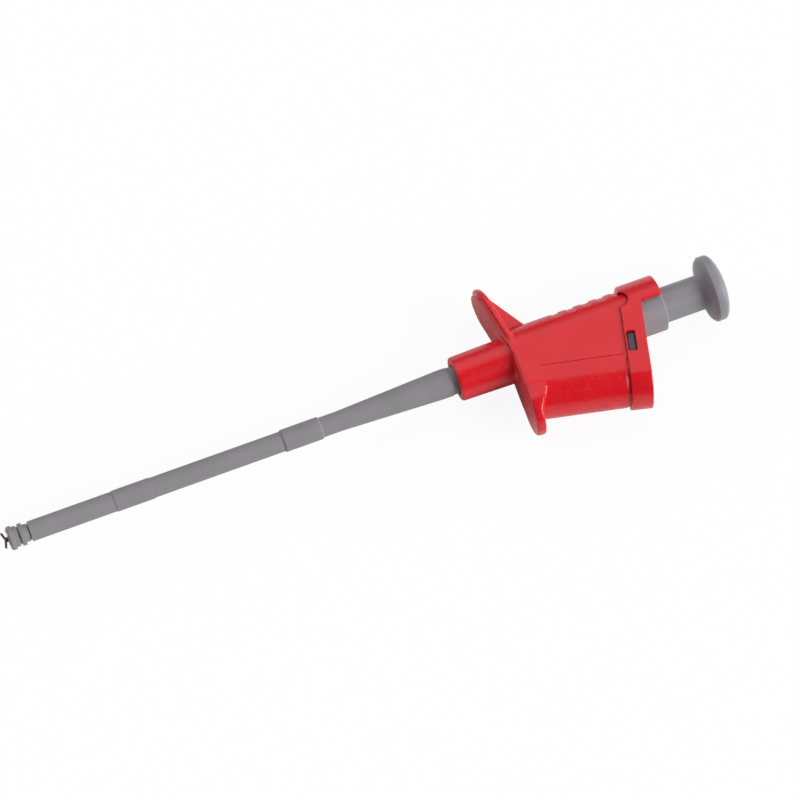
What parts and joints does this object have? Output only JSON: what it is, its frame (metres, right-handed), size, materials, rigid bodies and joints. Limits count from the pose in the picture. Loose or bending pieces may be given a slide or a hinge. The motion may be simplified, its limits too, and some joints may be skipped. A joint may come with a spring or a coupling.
{
  "type": "clamp-type test probe",
  "caption": "Long-reach clamp test probe: a thumb plunger pushes claws out of a slim stem, with finger wings and a 4 mm safety socket beside the plunger.",
  "frame": {"origin": "centre of the nozzle's mouth, on the main axis", "axes": "+X along the main axis from the claws to the thumb button, +Y towards the upper finger wing (the socket is on -Y), +Z square to the handle's flat sides, up when the probe lies on its side"},
  "size_m": [0.1608, 0.0376, 0.0144],
  "materials": {
    "red_plastic": "satin moulded",
    "grey_plastic": "fine matt, moulded",
    "plunger_plastic": "satin moulded",
    "dark_plastic": "moulded",
    "liner": "waxy white",
    "nickel": "nickel plated",
    "brass": "turned",
    "bronze": "rolled strip",
    "steel": "drawn",
    "claw_steel": "dark hardened"
  },
  "bodies": {
    "handle": {"housing": "red_plastic", "end_cap": "red_plastic", "guide_insert": "dark_plastic", "stem_taper": "grey_plastic", "stem_tube": "grey_plastic", "wire_liner": "liner", "tip_nozzle": "grey_plastic", "mouth_bush": "nickel", "rod_bush": "brass", "socket_contact": "nickel", "socket_insulator": "dark_plastic", "socket_nut": "nickel", "contact_strap": "bronze", "return_spring": "steel"},
    "slider": {"plunger": "plunger_plastic", "pull_rod": "nickel", "spring_washer": "steel", "wire_crimp": "brass", "drive_wire": "steel", "claw_ferrule": "nickel", "claw_pin": "steel"},
    "upper_jaw": {"claw_upper": "claw_steel"},
    "lower_jaw": {"claw_lower": "claw_steel"}
  },
  "joints": [
    {"name": "plunger_slide", "type": "slide", "parent": "handle", "child": "slider", "axis": [-1, 0, 0], "range_m": [0, 0.007], "stiffness_N_per_m": 400, "springref_m": -0.005, "deforming": ["return_spring"]},
    {"name": "upper_jaw_hinge", "type": "hinge", "parent": "slider", "child": "upper_jaw", "pos_m": [0.008, 0, 0], "axis": [0, 0, -1], "range_deg": [0, 18.6]},
    {"name": "lower_jaw_hinge", "type": "hinge", "parent": "slider", "child": "lower_jaw", "pos_m": [0.008, 0, 0], "axis": [0, 0, 1], "range_deg": [0, 18.6]}
  ],
  "couplings": [
    {"joint": "upper_jaw_hinge", "follows": "plunger_slide", "rad_per_m": 46.126},
    {"joint": "lower_jaw_hinge", "follows": "plunger_slide", "rad_per_m": 46.126}
  ]
}
